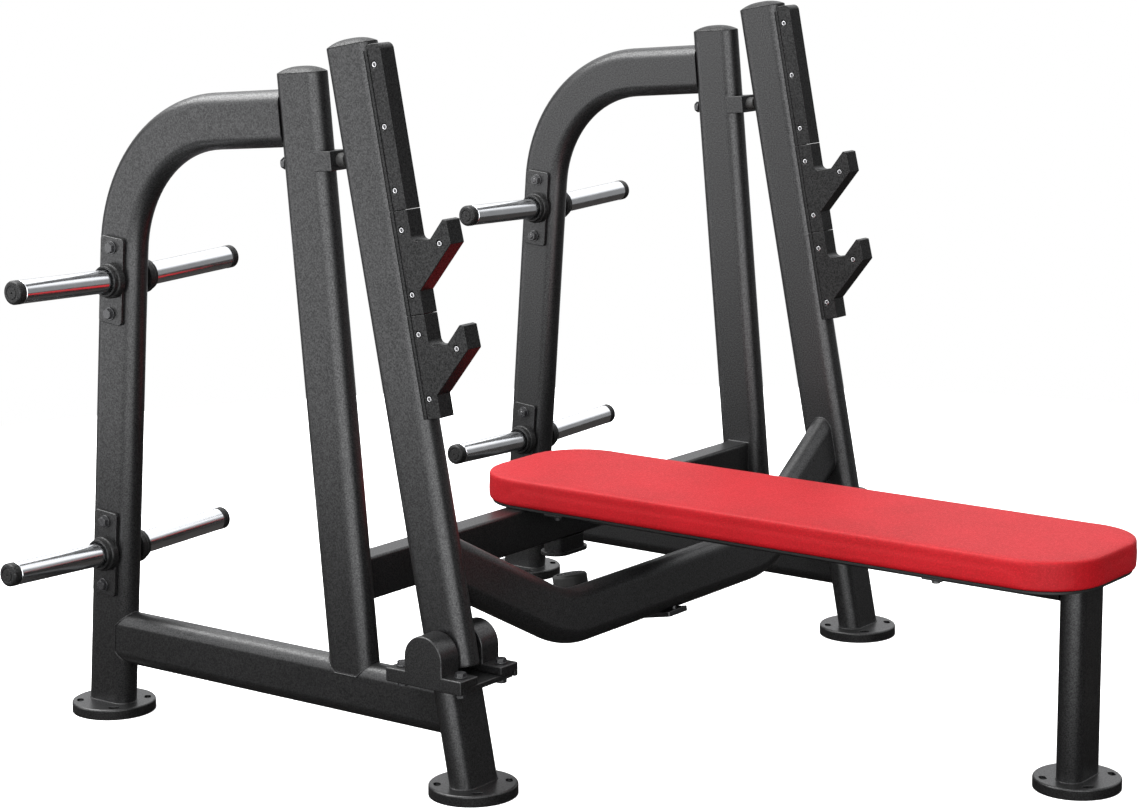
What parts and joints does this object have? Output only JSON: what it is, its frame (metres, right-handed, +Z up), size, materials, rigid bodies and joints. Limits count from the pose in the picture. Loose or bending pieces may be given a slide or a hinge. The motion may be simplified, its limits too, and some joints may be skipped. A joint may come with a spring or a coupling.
{
  "type": "olympic bench press",
  "caption": "Flat padded bench between two bent-tube side frames, with a rocking bar rack on bearings and chrome plate storage horns.",
  "frame": {"origin": "on the floor, under the middle of the bounding box", "axes": "+X along the bench towards its foot end, +Z up, +Y to the left of a viewer looking along +X (the nearer side frame, called left, is at -Y)"},
  "size_m": [1.852, 1.8014, 1.286],
  "materials": {
    "frame_paint": "fine-textured black powder coat",
    "horn_chrome": "polished chrome plate",
    "cap_plastic": "moulded black plastic",
    "guard_plastic": "dense black polymer, smooth",
    "buffer_rubber": "black rubber",
    "bolt_black": "black-plated steel",
    "screw_steel": "socket screws, bright",
    "bearing_steel": "ground bearing steel",
    "board_black": "plywood under black covering",
    "vinyl_red": "grained red upholstery vinyl over foam"
  },
  "bodies": {
    "base": {"foot_discs": "frame_paint", "rear_post_l": "frame_paint", "rear_post_r": "frame_paint", "mid_post_l": "frame_paint", "mid_post_r": "frame_paint", "lower_rail_l": "frame_paint", "lower_rail_r": "frame_paint", "front_leg_l": "frame_paint", "front_leg_r": "frame_paint", "mid_caps": "cap_plastic", "base_plate_l": "frame_paint", "base_plate_r": "frame_paint", "bearing_block_lo": "frame_paint", "bearing_block_li": "frame_paint", "bearing_block_ri": "frame_paint", "bearing_block_ro": "frame_paint", "block_bolts": "bolt_black", "bearing_outers": "bearing_steel", "stop_blocks": "frame_paint", "stop_buffers": "buffer_rubber", "stop_bolts": "bolt_black", "horn_brackets": "frame_paint", "bracket_bolts": "bolt_black", "horn_collars": "cap_plastic", "horn_tubes": "horn_chrome", "horn_caps": "cap_plastic", "rear_cross_member": "frame_paint", "stop_stub": "frame_paint", "bench_rail": "frame_paint", "bench_leg": "frame_paint", "pad_straps": "frame_paint", "pad_bolts": "bolt_black", "pad_board": "board_black", "pad": "vinyl_red"},
    "rack": {"upright_l": "frame_paint", "upright_r": "frame_paint", "upright_caps": "cap_plastic", "upright_plugs": "cap_plastic", "pivot_shafts": "bearing_steel", "shaft_spacers": "bearing_steel", "bearing_inners": "bearing_steel", "cross_tube": "frame_paint", "stop_arm": "frame_paint", "arm_riser": "frame_paint", "arm_buffer": "buffer_rubber", "arm_bolts": "bolt_black", "plain_guard_l": "guard_plastic", "plain_guard_r": "guard_plastic", "hook_upper_l": "guard_plastic", "hook_upper_r": "guard_plastic", "hook_lower_l": "guard_plastic", "hook_lower_r": "guard_plastic", "guard_cores": "frame_paint", "hook_cores": "frame_paint", "guard_screws": "screw_steel"}
  },
  "joints": [
    {"name": "rack_hinge", "type": "hinge", "parent": "base", "child": "rack", "pos_m": [-0.0275, 0, 0.247], "axis": [0, 1, 0], "range_deg": [0, 11]}
  ]
}
